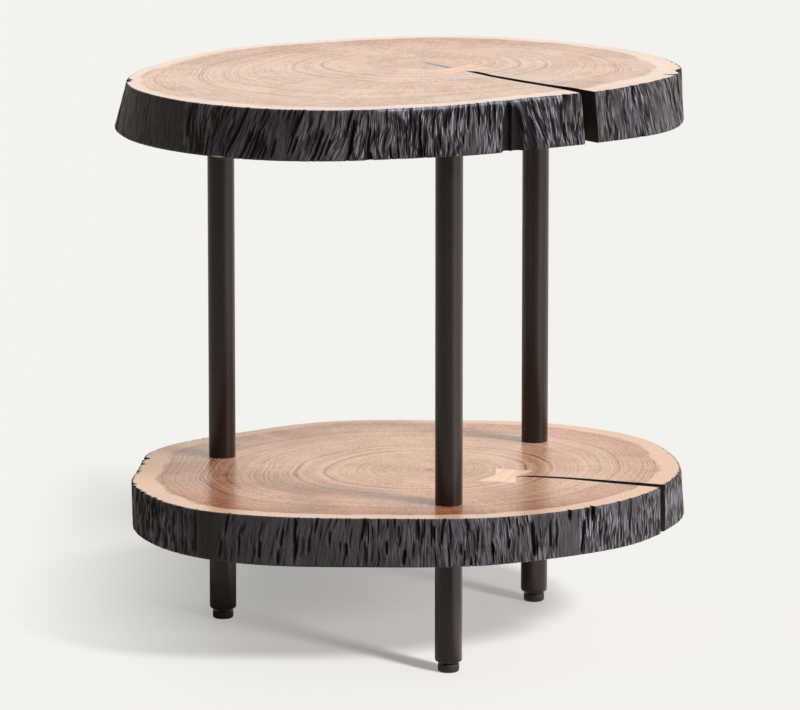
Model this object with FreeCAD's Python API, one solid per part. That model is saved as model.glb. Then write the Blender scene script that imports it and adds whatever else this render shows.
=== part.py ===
import FreeCAD, Part
import math
import os

from FreeCAD import Vector

# A side table of two live-edge log slices on three round steel legs.
# Each leg is a short lower tube and a long upper tube, bolted together through the shelf,
# and stands on a screwed levelling foot.
# Millimetres and degrees, +Z up, +X to the right and +Y away from the front.
# The origin is on the floor at the centre of the circle that the legs stand on.

# Heights, from the feet up
FOOT_GAP = 1.8
LOWER_TUBE_LENGTH = 96.7
SHELF_THICKNESS = 44.0
UPPER_TUBE_LENGTH = 324.0
TOP_THICKNESS = 46.0

# Leg tubes
LEG_NAMES = ("rear", "left", "front")
FIRST_LEG_ANGLE = 44.0
LEG_CIRCLE_RADIUS = 175.0
TUBE_DIAMETER = 25.0
TUBE_WALL = 1.5
TUBE_END_ROUND = 1.0
TUBE_END_FLAT = 0.3

# Threaded plugs welded into the tube ends, flush with them.
# The one at the foot has a rounded cap as wide as the tube, which closes it.
PLUG_LENGTH = 16.0
FOOT_PLUG_LENGTH = 15.0
FOOT_CAP_HEIGHT = 5.0
FOOT_CAP_ROUND = 3.0
PLUG_FIT = 0.05

# Studs and wood inserts, with the threads drawn as plain cylinders
STUD_DIAMETER = 10.0
STUD_IN_PLUG = 14.0
STUD_IN_INSERT = 21.0
THREAD_FIT = 0.05
INSERT_WALL = 3.0
INSERT_LENGTH = 25.0
INSERT_FIT = 0.05
SHELF_HOLE_CLEARANCE = 0.5

# Levelling feet: a hexagon-headed screw with a plastic pad snapped over its head
STEM_DIAMETER = 8.0
STEM_LENGTH = 30.0
STEM_FIT = 0.1
HEAD_ACROSS_FLATS = 13.0
HEAD_HEIGHT = 4.0
HEAD_CLEARANCE = 0.25
HEAD_PLAY = 0.1
PAD_WALL = 2.0
PAD_FLOOR = 2.0
PAD_LIP = 1.3
PAD_FOOT_ROUND = 2.5
PAD_LIP_ROUND = 0.5

# Edges of both slices: the sanded upper arris and the worn lower one
UPPER_ARRIS = 1.5
LOWER_ARRIS = 2.0

# Top slice: its rim at each angle, as how far the upper and lower edges stand off its nominal radius.
# Its crack runs out from under the key: the way out, and how far each wall stands to the side there.
TOP_RADIUS = 245.0
TOP_RIM = (
    (0, 12, 15),
    (20, 18, 17),
    (42, 16, 15),
    (74, 11, 10),
    (90, 0, 1),
    (116, -18, -15),
    (135, -14, -13),
    (152, -16, -12),
    (174, -5, 9),
    (187, 7, 20),
    (197, 17, 25),
    (212, 24, 30),
    (227, 26, 30),
    (242, 20, 23),
    (256, 8, 6),
    (270, -10, -16),
    (285, -27, -26),
    (300, -39, -33),
    (314, -36, -30),
    (330, -22, -14),
    (346, -5, 8),
)
TOP_CRACK_DIRECTION = -52.6
TOP_CRACK_WALLS = (
    (12, 2.0, -1.2),
    (20, 4.6, -2.0),
    (32, 4.4, -3.3),
    (50, 2.8, -4.9),
    (72, 2.6, -6.5),
    (95, 3.2, -6.6),
    (120, 4.2, -5.0),
    (142, 7.6, -4.2),
    (160, 9.6, -4.4),
    (190, 9.3, -6.5),
    (240, 9.3, -9.5),
)
TOP_KEY_X = 51.6
TOP_KEY_Y = 16.3
TOP_KEY_ANGLE = 42.0
TOP_KEY_LENGTH = 64.0
TOP_KEY_END_WIDTH = 35.0
TOP_KEY_WAIST_WIDTH = 22.0

# Shelf slice, in the same way
SHELF_RADIUS = 245.0
SHELF_RIM = (
    (0, 15, 18),
    (16, 17, 18),
    (30, 20, 19),
    (45, 15, 15),
    (60, 3, 3),
    (75, -13, -13),
    (90, -19, -18),
    (110, -16, -16),
    (131, -20, -19),
    (148, -8, -8),
    (165, 2, 3),
    (181, 0, 2),
    (195, 13, 12),
    (210, 22, 22),
    (225, 25, 26),
    (241, 11, 17),
    (256, -4, 0),
    (270, -9, -6),
    (286, -2, -2),
    (305, 4, -1),
    (325, 10, 9),
    (345, 12, 13),
)
SHELF_CRACK_DIRECTION = -18.2
SHELF_CRACK_WALLS = (
    (12, 5.0, 0.5),
    (20, 7.4, 0.9),
    (32, 8.9, 1.2),
    (46, 10.2, 2.2),
    (60, 10.7, 2.8),
    (76, 10.6, 1.6),
    (92, 9.8, -1.4),
    (110, 8.6, -2.6),
    (130, 7.8, -4.8),
    (148, 6.0, -6.8),
    (200, 3.0, -11.0),
)
SHELF_KEY_X = 95.9
SHELF_KEY_Y = -42.6
SHELF_KEY_ANGLE = 73.0
SHELF_KEY_LENGTH = 58.0
SHELF_KEY_END_WIDTH = 36.0
SHELF_KEY_WAIST_WIDTH = 20.0

# Bow-tie keys let into the upper face of each slice, and their glue line
KEY_DEPTH = 14.0
KEY_GLUE_LINE = 0.1

# Deep folds down the rim of each slice: angle, width at the rim and depth
TOP_FOLDS = (
    (194, 8, 5),
    (298, 10, 9),
)
SHELF_FOLDS = (
    (142, 8, 6),
    (171, 12, 6),
)

# Sizes that follow from the ones above
tube_bore = TUBE_DIAMETER - 2 * TUBE_WALL
tube_end_round = min(TUBE_END_ROUND, TUBE_WALL - TUBE_END_FLAT)
plug_diameter = tube_bore - 2 * PLUG_FIT
stud_hole = STUD_DIAMETER + 2 * THREAD_FIT
insert_diameter = STUD_DIAMETER + 2 * INSERT_WALL
head_across_corners = HEAD_ACROSS_FLATS / math.cos(math.pi / 6)
pad_cavity_diameter = head_across_corners + 2 * HEAD_CLEARANCE
pad_cavity_height = HEAD_HEIGHT + 2 * HEAD_PLAY
pad_diameter = pad_cavity_diameter + 2 * PAD_WALL
pad_height = PAD_FLOOR + pad_cavity_height + PAD_LIP
head_z = PAD_FLOOR + HEAD_PLAY
foot_cap_z = pad_height + FOOT_GAP
lower_tube_z = foot_cap_z + FOOT_CAP_HEIGHT
shelf_z = lower_tube_z + LOWER_TUBE_LENGTH
upper_tube_z = shelf_z + SHELF_THICKNESS
top_z = upper_tube_z + UPPER_TUBE_LENGTH


def along(angle, length):
    """A plan vector of one length at an angle."""
    return Vector(math.cos(math.radians(angle)), math.sin(math.radians(angle)), 0) * length


def leg_places():
    """Each leg's name with the point on the floor under its axis, evenly spaced on one circle."""
    step = 360.0 / len(LEG_NAMES)
    places = {}
    for count, name in enumerate(LEG_NAMES):
        places[name] = along(FIRST_LEG_ANGLE + count * step, LEG_CIRCLE_RADIUS)
    return places


def cylinder(place, diameter, z, length):
    """A round bar standing at a place, from height z up."""
    return Part.makeCylinder(diameter / 2, length, place + Vector(0, 0, z))


def prism(points, z, height):
    """A flat outline of plan points raised from height z."""
    corners = [Vector(point.x, point.y, z) for point in points]
    return Part.Face(Part.makePolygon(corners + corners[:1])).extrude(Vector(0, 0, height))


def end_edges(bar, top):
    """The circles at the top or the bottom end of a round bar, which lie flat at one height."""
    circles = [edge for edge in bar.Edges if edge.isClosed()]
    heights = [edge.CenterOfMass.z for edge in circles]
    level = max(heights) if top else min(heights)
    return [edge for edge, height in zip(circles, heights) if height == level]


def leg_tube(place, z, length, round_bottom):
    """A tube with its top outer corner rounded, and its bottom one too where it stands on wood."""
    bar = cylinder(place, TUBE_DIAMETER, z, length)
    corners = end_edges(bar, True)
    if round_bottom:
        corners += end_edges(bar, False)
    return bar.makeFillet(tube_end_round, corners).cut(cylinder(place, tube_bore, z, length))


def end_plug(place, z, length, hole_diameter):
    """A plug that fills a tube's bore, with its threaded hole right through."""
    return cylinder(place, plug_diameter, z, length).cut(cylinder(place, hole_diameter, z, length))


def foot_plug(place):
    """The plug at a leg's foot: a rounded cap under the tube, a body in its bore, and a threaded hole."""
    cap = cylinder(place, TUBE_DIAMETER, foot_cap_z, FOOT_CAP_HEIGHT)
    cap = cap.makeFillet(FOOT_CAP_ROUND, end_edges(cap, False))
    body = cylinder(place, plug_diameter, foot_cap_z + FOOT_CAP_HEIGHT, FOOT_PLUG_LENGTH - FOOT_CAP_HEIGHT)
    thread = cylinder(place, STEM_DIAMETER + 2 * STEM_FIT, foot_cap_z, FOOT_PLUG_LENGTH)
    return cap.fuse(body).cut(thread).removeSplitter()


def foot_stem(place):
    """The levelling screw: a hexagon head inside the pad and a shank up into the tube's foot plug."""
    corners = [place + along(angle, head_across_corners / 2) for angle in range(0, 360, 60)]
    head = prism(corners, head_z, HEAD_HEIGHT)
    return head.fuse(cylinder(place, STEM_DIAMETER, head_z, HEAD_HEIGHT + STEM_LENGTH)).removeSplitter()


def foot_pad(place):
    """The pad: a round cup closed by a lip over the screw's head."""
    pad = cylinder(place, pad_diameter, 0, pad_height)
    pad = pad.makeFillet(PAD_FOOT_ROUND, end_edges(pad, False))
    pad = pad.makeFillet(PAD_LIP_ROUND, end_edges(pad, True))
    pad = pad.cut(cylinder(place, pad_cavity_diameter, PAD_FLOOR, pad_cavity_height))
    return pad.cut(cylinder(place, STEM_DIAMETER + 2 * HEAD_CLEARANCE, PAD_FLOOR, pad_height))


def rim_outline(radius, rim, edge, inset, z):
    """A slice's smooth closed outline at one height, for edge 1 (upper) or 2 (lower)."""
    points = [along(row[0], radius + row[edge] - inset) + Vector(0, 0, z) for row in rim]
    curve = Part.BSplineCurve()
    curve.interpolate(points, PeriodicFlag=True)
    return Part.Wire([curve.toShape()])


def rim_reach(radius, rim, angle):
    """How far the upper edge of a slice reaches at an angle, between the listed points."""
    first = rim[0]
    rows = rim + ((first[0] + 360, first[1], first[2]),)
    for low, high in zip(rows, rows[1:]):
        if low[0] <= angle <= high[0]:
            share = (angle - low[0]) / (high[0] - low[0])
            return radius + low[1] + share * (high[1] - low[1])


def crack(tip, direction, walls, z, height):
    """The drying crack: two uneven walls that run from its tip under the key out past the rim."""
    far = [tip + along(direction, out) + along(direction + 90, side) for out, side, _ in walls]
    near = [tip + along(direction, out) + along(direction + 90, side) for out, _, side in walls]
    return prism([tip] + near + far[::-1], z, height)


def rim_fold(reach, angle, width, depth, z, height):
    """A fold in the rim: a groove with a V section, tip inwards, that runs out past the rim."""
    overrun = 2.0
    tip = along(angle, reach - depth)
    mouth = along(angle, reach + depth * (overrun - 1))
    half_mouth = along(angle + 90, width / 2 * overrun)
    return prism([tip, mouth - half_mouth, mouth + half_mouth], z, height)


def bowtie(centre, angle, length, end_width, waist_width, z, height):
    """A bow-tie key: two wedges that meet at a narrow waist."""
    half = along(angle, length / 2)
    end = along(angle + 90, end_width / 2)
    waist = along(angle + 90, waist_width / 2)
    points = [centre - half - end, centre - waist, centre + half - end]
    points += [centre + half + end, centre + waist, centre - half + end]
    return prism(points, z, height)


def log_slice(radius, rim, folds, z, thickness):
    """A slice of trunk with its wavy, slightly flaring rim, both arrises and its deep folds."""
    outlines = [
        rim_outline(radius, rim, 2, LOWER_ARRIS, z),
        rim_outline(radius, rim, 2, 0, z + LOWER_ARRIS),
        rim_outline(radius, rim, 1, 0, z + thickness - UPPER_ARRIS),
        rim_outline(radius, rim, 1, UPPER_ARRIS, z + thickness),
    ]
    slice_solid = Part.makeLoft(outlines, True, True)
    for angle, width, depth in folds:
        reach = rim_reach(radius, rim, angle)
        slice_solid = slice_solid.cut(rim_fold(reach, angle, width, depth, z, thickness))
    return slice_solid


legs = leg_places()
nodes = {}

# Top slice, with its crack, the pocket of its key and blind holes for the inserts
top_key_centre = Vector(TOP_KEY_X, TOP_KEY_Y, 0)
top_key_z = top_z + TOP_THICKNESS - KEY_DEPTH
top_slab = log_slice(TOP_RADIUS, TOP_RIM, TOP_FOLDS, top_z, TOP_THICKNESS)
top_slab = top_slab.cut(crack(top_key_centre, TOP_CRACK_DIRECTION, TOP_CRACK_WALLS, top_z, TOP_THICKNESS))
top_slab = top_slab.cut(
    bowtie(
        top_key_centre,
        TOP_KEY_ANGLE,
        TOP_KEY_LENGTH + 2 * KEY_GLUE_LINE,
        TOP_KEY_END_WIDTH + 2 * KEY_GLUE_LINE,
        TOP_KEY_WAIST_WIDTH + 2 * KEY_GLUE_LINE,
        top_key_z,
        KEY_DEPTH,
    )
)
for place in legs.values():
    top_slab = top_slab.cut(cylinder(place, insert_diameter + 2 * INSERT_FIT, top_z, INSERT_LENGTH))
nodes["top_slab"] = top_slab
nodes["top_bowtie_key"] = bowtie(
    top_key_centre,
    TOP_KEY_ANGLE,
    TOP_KEY_LENGTH,
    TOP_KEY_END_WIDTH,
    TOP_KEY_WAIST_WIDTH,
    top_key_z,
    KEY_DEPTH,
)

# Shelf slice, with its crack, the pocket of its key and through holes for the studs
shelf_key_centre = Vector(SHELF_KEY_X, SHELF_KEY_Y, 0)
shelf_key_z = shelf_z + SHELF_THICKNESS - KEY_DEPTH
shelf_slab = log_slice(SHELF_RADIUS, SHELF_RIM, SHELF_FOLDS, shelf_z, SHELF_THICKNESS)
shelf_slab = shelf_slab.cut(
    crack(shelf_key_centre, SHELF_CRACK_DIRECTION, SHELF_CRACK_WALLS, shelf_z, SHELF_THICKNESS)
)
shelf_slab = shelf_slab.cut(
    bowtie(
        shelf_key_centre,
        SHELF_KEY_ANGLE,
        SHELF_KEY_LENGTH + 2 * KEY_GLUE_LINE,
        SHELF_KEY_END_WIDTH + 2 * KEY_GLUE_LINE,
        SHELF_KEY_WAIST_WIDTH + 2 * KEY_GLUE_LINE,
        shelf_key_z,
        KEY_DEPTH,
    )
)
for place in legs.values():
    shelf_hole = cylinder(place, STUD_DIAMETER + 2 * SHELF_HOLE_CLEARANCE, shelf_z, SHELF_THICKNESS)
    shelf_slab = shelf_slab.cut(shelf_hole)
nodes["shelf_slab"] = shelf_slab
nodes["shelf_bowtie_key"] = bowtie(
    shelf_key_centre,
    SHELF_KEY_ANGLE,
    SHELF_KEY_LENGTH,
    SHELF_KEY_END_WIDTH,
    SHELF_KEY_WAIST_WIDTH,
    shelf_key_z,
    KEY_DEPTH,
)

# Legs: two tubes each, their welded plugs and the levelling foot
for name, place in legs.items():
    nodes[name + "_upper_tube"] = leg_tube(place, upper_tube_z, UPPER_TUBE_LENGTH, True)
    nodes[name + "_upper_top_plug"] = end_plug(place, top_z - PLUG_LENGTH, PLUG_LENGTH, stud_hole)
    nodes[name + "_upper_bottom_plug"] = end_plug(place, upper_tube_z, PLUG_LENGTH, stud_hole)
    nodes[name + "_lower_tube"] = leg_tube(place, lower_tube_z, LOWER_TUBE_LENGTH, False)
    nodes[name + "_lower_top_plug"] = end_plug(place, shelf_z - PLUG_LENGTH, PLUG_LENGTH, stud_hole)
    nodes[name + "_foot_plug"] = foot_plug(place)
    nodes[name + "_foot_stem"] = foot_stem(place)
    nodes[name + "_foot_pad"] = foot_pad(place)

# Fixings: wood inserts and studs under the top, and studs through the shelf
inserts = []
top_studs = []
shelf_studs = []
for place in legs.values():
    insert = cylinder(place, insert_diameter, top_z, INSERT_LENGTH)
    inserts.append(insert.cut(cylinder(place, stud_hole, top_z, INSERT_LENGTH)))
    top_studs.append(cylinder(place, STUD_DIAMETER, top_z - STUD_IN_PLUG, STUD_IN_PLUG + STUD_IN_INSERT))
    shelf_studs.append(
        cylinder(place, STUD_DIAMETER, shelf_z - STUD_IN_PLUG, SHELF_THICKNESS + 2 * STUD_IN_PLUG)
    )
nodes["top_inserts"] = Part.makeCompound(inserts)
nodes["top_studs"] = Part.makeCompound(top_studs)
nodes["shelf_studs"] = Part.makeCompound(shelf_studs)

os.makedirs("parts", exist_ok=True)
for name, shape in nodes.items():
    shape.exportStep("parts/" + name + ".step")
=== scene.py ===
import bpy
import numpy as np
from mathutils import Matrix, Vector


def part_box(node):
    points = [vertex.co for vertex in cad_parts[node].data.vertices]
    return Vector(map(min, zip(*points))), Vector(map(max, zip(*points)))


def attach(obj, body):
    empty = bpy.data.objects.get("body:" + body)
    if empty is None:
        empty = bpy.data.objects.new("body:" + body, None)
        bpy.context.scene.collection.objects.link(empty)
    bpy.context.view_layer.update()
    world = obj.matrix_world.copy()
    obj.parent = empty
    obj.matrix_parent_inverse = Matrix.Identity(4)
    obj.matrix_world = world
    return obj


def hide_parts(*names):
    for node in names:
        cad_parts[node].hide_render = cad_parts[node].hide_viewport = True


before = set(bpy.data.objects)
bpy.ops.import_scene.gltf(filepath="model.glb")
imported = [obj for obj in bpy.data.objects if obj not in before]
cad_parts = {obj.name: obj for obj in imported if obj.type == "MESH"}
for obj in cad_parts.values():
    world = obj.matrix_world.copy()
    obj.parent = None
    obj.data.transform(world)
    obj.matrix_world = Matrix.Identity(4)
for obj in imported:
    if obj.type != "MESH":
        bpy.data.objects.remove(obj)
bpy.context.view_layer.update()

# Levelling feet: a black moulded pad on the hexagon head of a zinc-plated M8 screw.
# The pad snaps over the head, and the screw goes up into the plug of the leg.
# Only the pad and, in the gap above it, a little thread show.
LEGS = ("rear", "left", "front")
MM = 0.001
PAD_SIDES = 72
PAD_FLAT_SHARE = 0.7
PAD_FOOT_ROUND = 2.5 * MM
PAD_LIP_ROUND = 0.5 * MM
SCREW_SIDES = 48
SCREW_DIAMETER = 8.0 * MM
SCREW_PITCH = 1.25 * MM
ROWS_PER_PITCH = 8
THREAD_DEPTH = 0.7 * MM
HEAD_ACROSS_FLATS = 13.0 * MM
HEAD_HEIGHT = 4.0 * MM
SIDE_PLAY = 0.25 * MM
END_PLAY = 0.1 * MM
POLE_RADIUS = 0.01 * MM
TURNED_CREASE = 35
SCREW_CREASE = 40
PAD_BLACK = (0.012, 0.011, 0.011, 1)
ZINC = (0.55, 0.56, 0.58, 1)
TOOTH_SMEARS = 24.0
GLOSS_SPREAD = (0.3, 0.7)


def grid_quads(columns, rows):
    """Quads between the neighbours of a grid that closes on itself both ways, numbered column by column."""
    i, j = np.meshgrid(np.arange(columns), np.arange(rows), indexing="ij")
    next_i = (i + 1) % columns
    next_j = (j + 1) % rows
    corners = [i * rows + j, next_i * rows + j, next_i * rows + next_j, i * rows + next_j]
    return np.stack(corners, -1).reshape(-1, 4)


def new_mesh(name, points, quads, triangles=None):
    """A mesh object of these points, with its quads first and its triangles after them."""
    triangles = np.empty((0, 3), int) if triangles is None else triangles
    corners = np.concatenate([quads.ravel(), triangles.ravel()])
    sizes = np.concatenate([np.full(len(quads), 4), np.full(len(triangles), 3)])
    mesh = bpy.data.meshes.new(name)
    mesh.vertices.add(len(points))
    mesh.vertices.foreach_set("co", points.astype(np.float32).ravel())
    mesh.loops.add(len(corners))
    mesh.loops.foreach_set("vertex_index", corners.astype(np.int32))
    mesh.polygons.add(len(sizes))
    mesh.polygons.foreach_set("loop_start", (np.cumsum(sizes) - sizes).astype(np.int32))
    mesh.update(calc_edges=True)
    piece = bpy.data.objects.new(name, mesh)
    bpy.context.scene.collection.objects.link(piece)
    return piece


def carried_round(name, axis, radius, height, crease):
    """A surface round a vertical axis from its radius and height at each angle and each step of its profile,
    smooth up to a crease in degrees."""
    turn = np.linspace(0, 2 * np.pi, len(radius), endpoint=False)[:, None]
    points = np.stack([axis.x + radius * np.cos(turn), axis.y + radius * np.sin(turn), height], -1)
    piece = new_mesh(name, points.reshape(-1, 3), grid_quads(*radius.shape))
    piece.data.polygons.foreach_set("use_smooth", np.ones(len(piece.data.polygons), bool))
    piece.data.set_sharp_from_angle(angle=np.radians(crease))
    return piece


def turned(name, axis, profile, sides):
    """A closed profile of (radius, height) points carried round a vertical axis."""
    radius, height = np.broadcast_to(profile.T[:, None, :], (2, sides, len(profile)))
    return carried_round(name, axis, radius, height, TURNED_CREASE)


def arc(centre, radius, start, end, steps=6):
    """Points of a circular arc in a profile's (radius, height) plane, between two angles in degrees."""
    turn = np.radians(np.linspace(start, end, steps))
    return np.stack([centre[0] + radius * np.cos(turn), centre[1] + radius * np.sin(turn)], -1)


def foot_pad(leg):
    """A cup turned on the foot's axis, rounded at the floor and the lip, and hollow for the screw's head."""
    low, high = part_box(leg + "_foot_pad")
    outer = (high.x - low.x) / 2
    neck = SCREW_DIAMETER / 2 + SIDE_PLAY
    cavity = HEAD_ACROSS_FLATS / np.sqrt(3) + SIDE_PLAY
    head_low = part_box(leg + "_foot_stem")[0].z
    floor = head_low - END_PLAY
    lip = head_low + HEAD_HEIGHT + END_PLAY
    profile = np.concatenate([
        [[POLE_RADIUS, low.z], [PAD_FLAT_SHARE * outer, low.z]],
        arc((outer - PAD_FOOT_ROUND, low.z + PAD_FOOT_ROUND), PAD_FOOT_ROUND, -90, 0),
        arc((outer - PAD_LIP_ROUND, high.z - PAD_LIP_ROUND), PAD_LIP_ROUND, 0, 90),
        [[neck, high.z], [neck, lip], [cavity, lip], [cavity, floor], [POLE_RADIUS, floor]],
    ])
    return turned(leg + "_pad_moulding", (low + high) / 2, profile, PAD_SIDES)


def foot_screw(leg):
    """A radius that depends on the angle and the height: six flats on the head, and above it a thread whose
    radius swings once for each pitch of height less each full turn."""
    low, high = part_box(leg + "_foot_stem")
    turn = np.linspace(0, 2 * np.pi, SCREW_SIDES, endpoint=False)[:, None]
    head_top = low.z + HEAD_HEIGHT
    rows = int((high.z - head_top) / SCREW_PITCH * ROWS_PER_PITCH)
    height = np.linspace(head_top, high.z, rows)[None, :]
    phase = 2 * np.pi * height / SCREW_PITCH - turn
    shank = SCREW_DIAMETER / 2 - THREAD_DEPTH * (0.5 - 0.5 * np.cos(phase))
    flats = HEAD_ACROSS_FLATS / 2 / np.cos((turn + np.pi / 6) % (np.pi / 3) - np.pi / 6)
    pole = POLE_RADIUS + 0 * turn
    radius = np.concatenate([pole, flats, flats, shank, pole], 1)
    level = np.concatenate([[low.z, low.z, head_top], height[0], [high.z]])[None, :] + 0 * turn
    return carried_round(leg + "_levelling_screw", (low + high) / 2, radius, level, SCREW_CREASE)


def node(tree, kind, inputs=None, **settings):
    """A shader node with its settings, and its inputs set to a value or linked to a socket."""
    made = tree.nodes.new(kind)
    for key, value in settings.items():
        setattr(made, key, value)
    for key, value in (inputs or {}).items():
        if isinstance(value, bpy.types.NodeSocket):
            tree.links.new(value, made.inputs[key])
        else:
            made.inputs[key].default_value = value
    return made


def math_node(tree, operation, *terms):
    """One step of arithmetic on sockets or numbers."""
    return node(tree, "ShaderNodeMath", dict(enumerate(terms)), operation=operation).outputs[0]


def weighed(tree, first, *others):
    """The sum of values, each given with the share that it counts by."""
    total = math_node(tree, "MULTIPLY", *first)
    for value, share in others:
        total = math_node(tree, "MULTIPLY_ADD", value, share, total)
    return total


def ranged(tree, value, low, high, to_low=0.0, to_high=1.0, smooth=True):
    """A value carried from one range to another and held at its ends."""
    kind = "SMOOTHSTEP" if smooth else "LINEAR"
    inputs = {"Value": value, "From Min": low, "From Max": high, "To Min": to_low, "To Max": to_high}
    return node(tree, "ShaderNodeMapRange", inputs, interpolation_type=kind).outputs["Result"]


def noise(tree, vector, scale, detail=2.0, roughness=0.5):
    """Smooth noise from about 0 to 1 at a scale in cells per metre."""
    inputs = {"Vector": vector, "Scale": scale, "Detail": detail, "Roughness": roughness}
    return node(tree, "ShaderNodeTexNoise", inputs).outputs["Fac"]


def bump(tree, height, distance):
    """A normal from a height, for a surface that rises by a distance in metres."""
    return node(tree, "ShaderNodeBump", {"Height": height, "Distance": distance}).outputs["Normal"]


def new_material(name, **constants):
    """A material with one Principled BSDF, its constant sockets set, and its Object coordinates."""
    material = bpy.data.materials.new(name)
    material.use_nodes = True
    tree = material.node_tree
    shader = tree.nodes["Principled BSDF"]
    for key, value in constants.items():
        shader.inputs[key].default_value = value
    place = node(tree, "ShaderNodeTexCoord").outputs["Object"]
    return material, tree, shader, place


def new_group(name, inputs, outputs):
    """A shader node group with named sockets, and its input and output nodes."""
    group = bpy.data.node_groups.new(name, "ShaderNodeTree")
    for socket, kind in inputs.items():
        group.interface.new_socket(socket, in_out="INPUT", socket_type="NodeSocket" + kind)
    for socket, kind in outputs.items():
        group.interface.new_socket(socket, in_out="OUTPUT", socket_type="NodeSocket" + kind)
    return group, node(group, "NodeGroupInput").outputs, node(group, "NodeGroupOutput").inputs


def place_group(tree, group, **inputs):
    """A group placed in a material with its own values."""
    inputs = {name.replace("_", " "): value for name, value in inputs.items()}
    return node(tree, "ShaderNodeGroup", inputs, node_tree=group).outputs


# The tooth of a sprayed, plated or moulded surface: fine pits over a slow unevenness of gloss.
tooth, tooth_in, tooth_out = new_group(
    "Surface tooth", {"Place": "Vector", "Pits": "Float"}, {"Height": "Float", "Gloss": "Float"}
)
pits = noise(tooth, tooth_in["Place"], tooth_in["Pits"], 3.0, 0.6)
smears = noise(tooth, tooth_in["Place"], TOOTH_SMEARS, 3.0, 0.6)
tooth.links.new(pits, tooth_out["Height"])
tooth.links.new(weighed(tooth, (smears, 0.7), (pits, 0.3)), tooth_out["Gloss"])


def toothed(name, pits_per_metre, pit_depth, roughness, **constants):
    """A finish with the tooth: so many pits of a depth, and a roughness between two values."""
    material, tree, shader, place = new_material(name, **constants)
    worn = place_group(tree, tooth, Place=place, Pits=pits_per_metre)
    tree.links.new(ranged(tree, worn["Gloss"], *GLOSS_SPREAD, *roughness), shader.inputs["Roughness"])
    tree.links.new(bump(tree, worn["Height"], pit_depth), shader.inputs["Normal"])
    return material


def dress(piece, body, slot, replaced, *materials):
    """Gives a piece its materials, says what it rides on and hides the node that it stands for. Its slot is
    not used.
    """
    for material in materials:
        piece.data.materials.append(material)
    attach(piece, body)
    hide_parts(replaced)


pad_plastic = toothed("Moulded black plastic", 1800.0, 0.1 * MM, (0.42, 0.58), **{"Base Color": PAD_BLACK})
zinc_steel = toothed(
    "Zinc-plated steel", 900.0, 0.04 * MM, (0.28, 0.45), **{"Base Color": ZINC, "Metallic": 1.0}
)
for leg in LEGS:
    dress(foot_pad(leg), leg + "_pad", "black_plastic", leg + "_foot_pad", pad_plastic)
    dress(foot_screw(leg), leg + "_stem", "plain_steel", leg + "_foot_stem", zinc_steel)

# Legs: round steel tube, powder-coated satin black with a brown cast, the ends eased.
# A short tube stands under the shelf and a long one on it, in line, drawn together by a stud.
# A rounded cap with the thread for the levelling screw is welded to the foot and coated with it.
TUBE_SIDES = 128
TUBE_WALL = 1.5 * MM
TUBE_END_ROUND = 1.0 * MM
FOOT_CAP_HEIGHT = 5.0 * MM
FOOT_CAP_ROUND = 3.0 * MM
FOOT_CAP_STEPS = 9
CAP_HOLE_RADIUS = 4.1 * MM
COAT_BLACK = (0.007, 0.0052, 0.0045, 1)
COAT_SHEEN = (1.0, 0.87, 0.86, 1)


def leg_tube(leg, part):
    """A tube's wall carried round its axis: up the outside to a rounded end, and down the bore. The foot of
    an upper tube is rounded too, and a lower tube's is square on its cap."""
    low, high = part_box(leg + part)
    outer = (high.x - low.x) / 2
    bore = outer - TUBE_WALL
    foot = np.array([[outer, low.z]])
    if part == "_upper_tube":
        foot = arc((outer - TUBE_END_ROUND, low.z + TUBE_END_ROUND), TUBE_END_ROUND, -90, 0)
    head = arc((outer - TUBE_END_ROUND, high.z - TUBE_END_ROUND), TUBE_END_ROUND, 0, 90)
    profile = np.concatenate([foot, head, [[bore, high.z], [bore, low.z]]])
    return turned(leg + part + "_coated", (low + high) / 2, profile, TUBE_SIDES)


def foot_cap(leg):
    """A plug's profile carried round its axis: the rounded cap, the body in the bore and the screw's hole."""
    low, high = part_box(leg + "_foot_plug")
    outer = (high.x - low.x) / 2
    body = outer - TUBE_WALL
    cap_top = low.z + FOOT_CAP_HEIGHT
    profile = np.concatenate([
        [[CAP_HOLE_RADIUS, low.z]],
        arc((outer - FOOT_CAP_ROUND, low.z + FOOT_CAP_ROUND), FOOT_CAP_ROUND, -90, 0, FOOT_CAP_STEPS),
        [[outer, cap_top], [body, cap_top], [body, high.z], [CAP_HOLE_RADIUS, high.z]],
    ])
    return turned(leg + "_foot_cap_coated", (low + high) / 2, profile, TUBE_SIDES)


black_coat = toothed(
    "Satin black powder coat", 1100.0, 0.07 * MM, (0.2, 0.3),
    **{"Base Color": COAT_BLACK, "Specular Tint": COAT_SHEEN},
)
for leg in LEGS:
    for part in ("_upper_tube", "_lower_tube"):
        dress(leg_tube(leg, part), "table", "black_steel", leg + part, black_coat)
    dress(foot_cap(leg), "table", "black_steel", leg + "_foot_plug", black_coat)


# Hidden fixings: threaded plugs welded into the tube ends, studs through the shelf and into the top,
# and wood inserts. They keep their construction shapes and get bare plated steel.
def finish_node(name, material):
    """Gives a piece that keeps its construction shape its only material."""
    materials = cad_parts[name].data.materials
    materials.clear()
    materials.append(material)


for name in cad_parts:
    if name.endswith(("_plug", "_studs", "_inserts")):
        finish_node(name, zinc_steel)

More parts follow.
